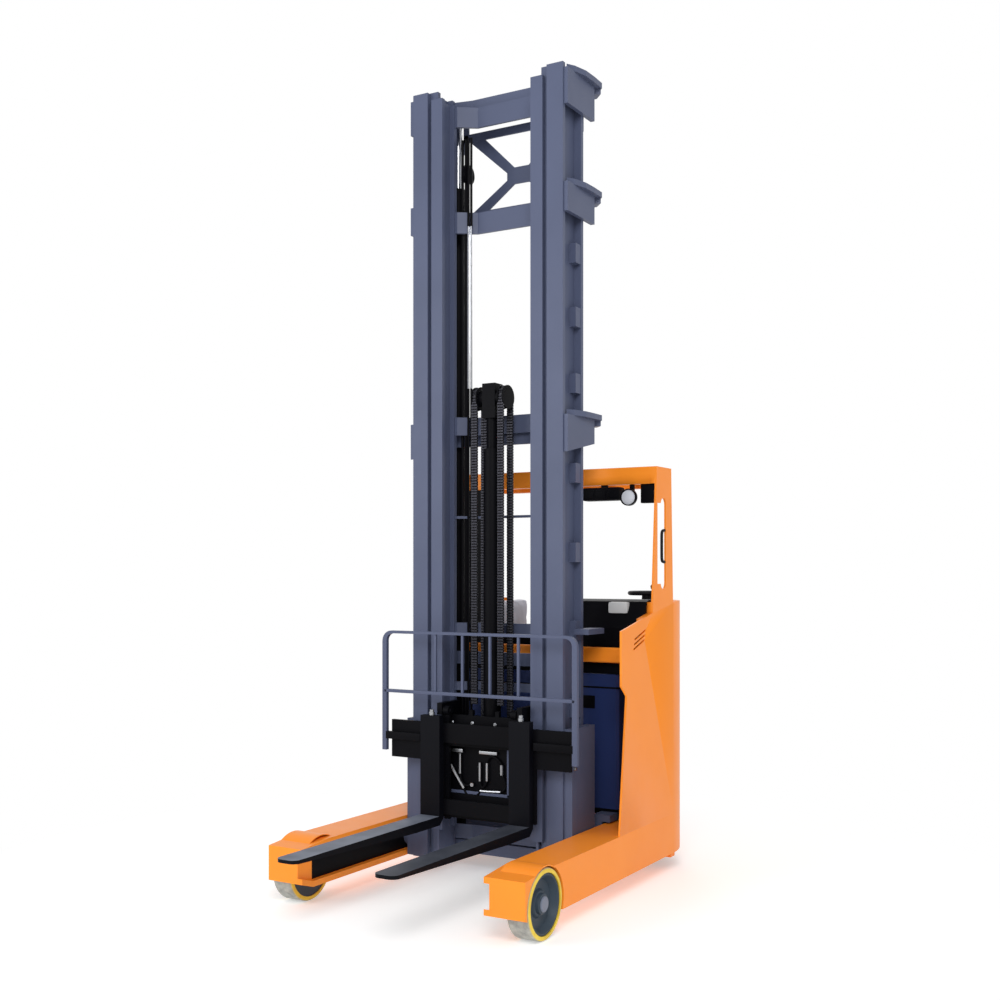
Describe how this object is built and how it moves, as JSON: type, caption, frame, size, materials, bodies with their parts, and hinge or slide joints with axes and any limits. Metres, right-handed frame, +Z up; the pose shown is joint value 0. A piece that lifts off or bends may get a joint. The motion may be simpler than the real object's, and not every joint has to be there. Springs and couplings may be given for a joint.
{
  "type": "reach truck",
  "caption": "Sit-on electric reach truck with straddle legs, a three-stage mast that slides forward, side-shifting and tilting forks, and an overhead guard.",
  "frame": {"origin": "on the floor, at the middle of the truck's length and width with the mast drawn in", "axes": "+Z up, the forks point along -Y, the truck's left side is at +X"},
  "size_m": [1.27, 2.22, 3.705],
  "materials": {
    "orange": "orange enamel",
    "mast": "slate blue-grey enamel",
    "black": "satin black enamel",
    "navy": "dark navy enamel",
    "fork": "dark grey enamel, worn on the blades",
    "chain": "oiled chain",
    "rod": "hard chrome",
    "steel": "bright steel",
    "tyre": "yellow polyurethane",
    "hub": "dark painted casting",
    "seat": "black and grey vinyl",
    "wheel_grip": "black moulded grip"
  },
  "bodies": {
    "chassis": {"leg_left": "orange", "leg_right": "orange", "load_axles": "steel", "base_frame": "orange", "deck": "black", "body_shell": "orange", "battery": "navy", "battery_tray": "black", "cross_beam": "orange", "cab_floor": "black", "seat_box": "black", "drive_motor": "black", "seat_cushion": "seat", "seat_back": "seat", "console": "black", "guard_frame": "orange", "guard_bars": "orange", "guard_pillar": "black", "battery_hood": "black", "grab_handles": "black", "guard_lamps": "black", "reach_barrel": "black"},
    "load_wheel_left": {"load_tyre_left": "tyre", "load_hub_left": "hub"},
    "load_wheel_right": {"load_tyre_right": "tyre", "load_hub_right": "hub"},
    "drive_steer": {"drive_yoke": "black"},
    "drive_wheel": {"drive_tyre": "tyre", "drive_hub": "hub"},
    "handwheel": {"steering_wheel": "wheel_grip"},
    "reach_carriage": {"reach_frame": "mast", "reach_rod": "rod", "outer_rails": "mast", "outer_ties": "mast", "mast_brace": "mast", "lift_barrels": "black"},
    "mast_middle": {"middle_rails": "mast", "middle_ties": "mast", "lift_rods": "rod"},
    "mast_inner": {"inner_rails": "mast", "inner_ties": "mast", "free_lift_barrel": "black"},
    "free_lift": {"free_lift_head": "black", "free_lift_chains": "chain"},
    "fork_carriage": {"lift_carriage": "black"},
    "tilt": {"tilt_frame": "black"},
    "sideshift": {"shift_frame": "black", "load_backrest": "mast", "fork_left": "fork", "fork_right": "fork"}
  },
  "joints": [
    {"name": "load_wheel_left_spin", "type": "hinge", "parent": "chassis", "child": "load_wheel_left", "pos_m": [0.585, -0.58, 0.1425], "axis": [1, 0, 0], "continuous": true},
    {"name": "load_wheel_right_spin", "type": "hinge", "parent": "chassis", "child": "load_wheel_right", "pos_m": [-0.585, -0.58, 0.1425], "axis": [1, 0, 0], "continuous": true},
    {"name": "steer", "type": "hinge", "parent": "chassis", "child": "drive_steer", "pos_m": [-0.2, 0.82, 0.28], "axis": [0, 0, 1], "range_deg": [-90, 90]},
    {"name": "drive_wheel_spin", "type": "hinge", "parent": "drive_steer", "child": "drive_wheel", "pos_m": [-0.2, 0.82, 0.125], "axis": [1, 0, 0], "continuous": true},
    {"name": "handwheel_turn", "type": "hinge", "parent": "chassis", "child": "handwheel", "pos_m": [0.43, 0.86, 1.335], "axis": [0, 0, 1], "range_deg": [-540, 540]},
    {"name": "reach", "type": "slide", "parent": "chassis", "child": "reach_carriage", "axis": [0, -1, 0], "range_m": [0, 0.5]},
    {"name": "mast_lift", "type": "slide", "parent": "reach_carriage", "child": "mast_middle", "axis": [0, 0, 1], "range_m": [0, 2.75]},
    {"name": "mast_inner_lift", "type": "slide", "parent": "mast_middle", "child": "mast_inner", "axis": [0, 0, 1], "range_m": [0, 2.75]},
    {"name": "fork_lift", "type": "slide", "parent": "mast_inner", "child": "fork_carriage", "axis": [0, 0, 1], "range_m": [-0.26, 2.6]},
    {"name": "free_lift_slide", "type": "slide", "parent": "mast_inner", "child": "free_lift", "axis": [0, 0, 1], "range_m": [-0.13, 1.3]},
    {"name": "tilt_forks", "type": "hinge", "parent": "fork_carriage", "child": "tilt", "pos_m": [0, -0.027, 0.8], "axis": [1, 0, 0], "range_deg": [-4, 2]},
    {"name": "side_shift", "type": "slide", "parent": "tilt", "child": "sideshift", "axis": [1, 0, 0], "range_m": [-0.075, 0.075]}
  ],
  "couplings": [
    {"joint": "mast_inner_lift", "follows": "mast_lift", "ratio": 1},
    {"joint": "free_lift_slide", "follows": "fork_lift", "ratio": 0.5},
    {"joint": "handwheel_turn", "follows": "steer", "ratio": -6}
  ]
}
